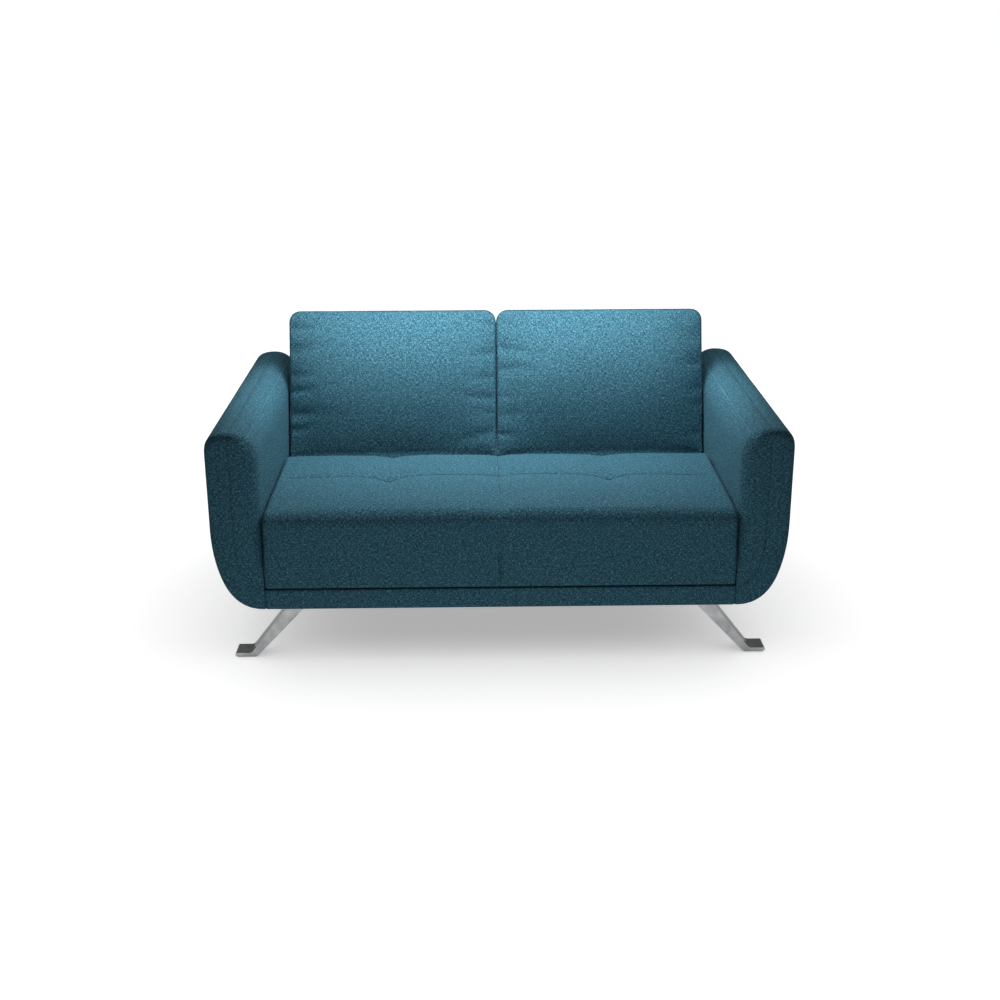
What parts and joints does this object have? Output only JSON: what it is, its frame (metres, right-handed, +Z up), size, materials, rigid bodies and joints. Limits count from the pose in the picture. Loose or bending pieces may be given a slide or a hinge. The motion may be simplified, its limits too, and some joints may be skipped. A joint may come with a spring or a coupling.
{
  "type": "futon sofa bed",
  "caption": "Two-seat upholstered futon sofa bed with rounded fixed arms, a tight seat, a split click-clack back that folds flat and splayed chrome legs.",
  "frame": {"origin": "centre of the overall box in plan, on the floor under the glides", "axes": "+Z up, +X across the sofa to the left of someone sitting on it, +Y to the rear, so the seat faces -Y"},
  "size_m": [1.56, 0.97, 0.8244],
  "materials": {
    "teal_fabric": "slubby linen-like plain weave over foam",
    "frame_wood": "sawn and sanded, unfinished",
    "chrome_leg": "mirror polished",
    "zinc_steel": "zinc plated",
    "glide_plastic": "moulded",
    "black_cloth": "thin non-woven dust cloth"
  },
  "bodies": {
    "base": {"arm_left_cover": "teal_fabric", "arm_left_former_front": "frame_wood", "arm_left_former_rear": "frame_wood", "arm_left_rail": "frame_wood", "arm_right_cover": "teal_fabric", "arm_right_former_front": "frame_wood", "arm_right_former_rear": "frame_wood", "arm_right_rail": "frame_wood", "dust_cloth": "black_cloth", "front_band": "teal_fabric", "glide_front_left": "glide_plastic", "glide_front_right": "glide_plastic", "glide_rear_left": "glide_plastic", "glide_rear_right": "glide_plastic", "hinge_pin_left_a": "zinc_steel", "hinge_pin_left_b": "zinc_steel", "hinge_pin_right_a": "zinc_steel", "hinge_pin_right_b": "zinc_steel", "leg_bolt_front_left": "zinc_steel", "leg_bolt_front_right": "zinc_steel", "leg_bolt_rear_left": "zinc_steel", "leg_bolt_rear_right": "zinc_steel", "leg_front_left": "chrome_leg", "leg_front_right": "chrome_leg", "leg_rear_left": "chrome_leg", "leg_rear_right": "chrome_leg", "rail_centre": "frame_wood", "rail_front": "frame_wood", "rail_left": "frame_wood", "rail_middle": "frame_wood", "rail_rear": "frame_wood", "rail_right": "frame_wood", "rear_panel": "teal_fabric", "seat_cushion": "teal_fabric", "seat_hinge_left_a": "zinc_steel", "seat_hinge_left_b": "zinc_steel", "seat_hinge_right_a": "zinc_steel", "seat_hinge_right_b": "zinc_steel", "seat_spring_1": "zinc_steel", "seat_spring_2": "zinc_steel", "seat_spring_3": "zinc_steel", "seat_spring_4": "zinc_steel", "seat_spring_5": "zinc_steel", "seat_spring_6": "zinc_steel"},
    "back_left": {"back_left_cushion": "teal_fabric", "back_left_hinge_a": "zinc_steel", "back_left_hinge_b": "zinc_steel", "back_left_panel": "teal_fabric", "back_left_post_a": "frame_wood", "back_left_post_b": "frame_wood", "back_left_rail_low": "frame_wood", "back_left_rail_top": "frame_wood"},
    "back_right": {"back_right_cushion": "teal_fabric", "back_right_hinge_a": "zinc_steel", "back_right_hinge_b": "zinc_steel", "back_right_panel": "teal_fabric", "back_right_post_a": "frame_wood", "back_right_post_b": "frame_wood", "back_right_rail_low": "frame_wood", "back_right_rail_top": "frame_wood"}
  },
  "joints": [
    {"name": "back_left_recline", "type": "hinge", "parent": "base", "child": "back_left", "pos_m": [0.3195, 0.153, 0.37], "axis": [-1, 0, 0], "range_deg": [-15, 72]},
    {"name": "back_right_recline", "type": "hinge", "parent": "base", "child": "back_right", "pos_m": [-0.3195, 0.153, 0.37], "axis": [-1, 0, 0], "range_deg": [-15, 72]}
  ]
}
